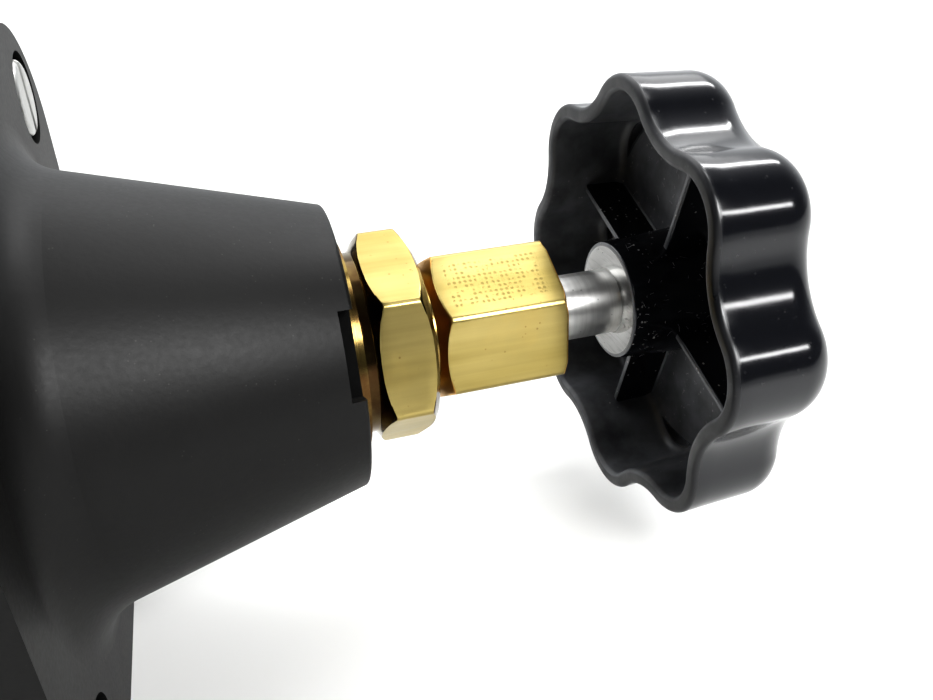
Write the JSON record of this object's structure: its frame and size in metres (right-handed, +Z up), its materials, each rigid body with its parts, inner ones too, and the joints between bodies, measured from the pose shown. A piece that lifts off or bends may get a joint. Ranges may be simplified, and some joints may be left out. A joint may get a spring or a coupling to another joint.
{
  "type": "flow control valve",
  "caption": "Needle-type flow control valve with a conical bonnet, brass jam and packing nuts, a lobed handwheel and a check valve in its drilled body.",
  "frame": {"origin": "centre of the valve body's flat base face", "axes": "+X along the stem towards the handwheel, +Y towards the outlet side, +Z up from the base"},
  "size_m": [0.154, 0.068, 0.068],
  "materials": {
    "body_black": "matt fine-textured black powder coat on cast aluminium",
    "bonnet_black": "matt fine-textured black powder coat on cast aluminium",
    "gasket_fibre": "dark grey fibre-rubber sheet",
    "screw_steel": "bright zinc-plated steel",
    "washer_steel": "zinc-plated spring steel",
    "bushing_brass": "turned brass",
    "nut_brass": "drawn brass hexagon bar, turned ends",
    "washer_brass": "stamped brass",
    "plug_brass": "turned brass",
    "seal_rubber": "black nitrile rubber",
    "seal_copper": "annealed copper",
    "packing_ptfe": "white PTFE",
    "stem_steel": "ground stainless steel",
    "spring_steel": "stainless spring wire",
    "ball_steel": "polished stainless ball",
    "wheel_phenolic": "glossy black moulded phenolic"
  },
  "bodies": {
    "housing": {"valve_body": "body_black", "bonnet": "bonnet_black", "bonnet_gasket": "gasket_fibre", "bonnet_screws": "screw_steel", "screw_lock_washers": "washer_steel", "stem_bushing": "bushing_brass", "bushing_seal": "seal_rubber", "jam_washer": "washer_brass", "jam_nut": "nut_brass", "packing_nut": "nut_brass", "packing_washer": "washer_brass", "stem_packing": "packing_ptfe", "gland_follower": "bushing_brass", "seat_washer": "seal_copper", "seat_ring": "bushing_brass", "check_plug": "plug_brass", "check_plug_seal": "seal_copper", "check_spring": "spring_steel"},
    "needle": {"needle_tip": "stem_steel"},
    "spindle": {"stem": "stem_steel", "needle_ring": "washer_steel", "stop_ring": "washer_steel", "handwheel": "wheel_phenolic", "wheel_washer": "washer_steel", "wheel_nut": "screw_steel"},
    "ball": {"check_ball": "ball_steel"}
  },
  "joints": [
    {"name": "needle_travel", "type": "slide", "parent": "housing", "child": "needle", "axis": [1, 0, 0], "range_m": [-0.005, 0.003]},
    {"name": "wheel_turn", "type": "hinge", "parent": "needle", "child": "spindle", "pos_m": [0.1, 0, 0.034], "axis": [1, 0, 0], "range_deg": [-1800, 1080]},
    {"name": "check_lift", "type": "slide", "parent": "housing", "child": "ball", "axis": [-1, 0, 0], "range_m": [0, 0.0025], "stiffness_N_per_m": 300, "springref_m": -0.002, "deforming": ["check_spring"]}
  ],
  "couplings": [
    {"joint": "wheel_turn", "follows": "needle_travel", "rad_per_m": 6283.2}
  ]
}
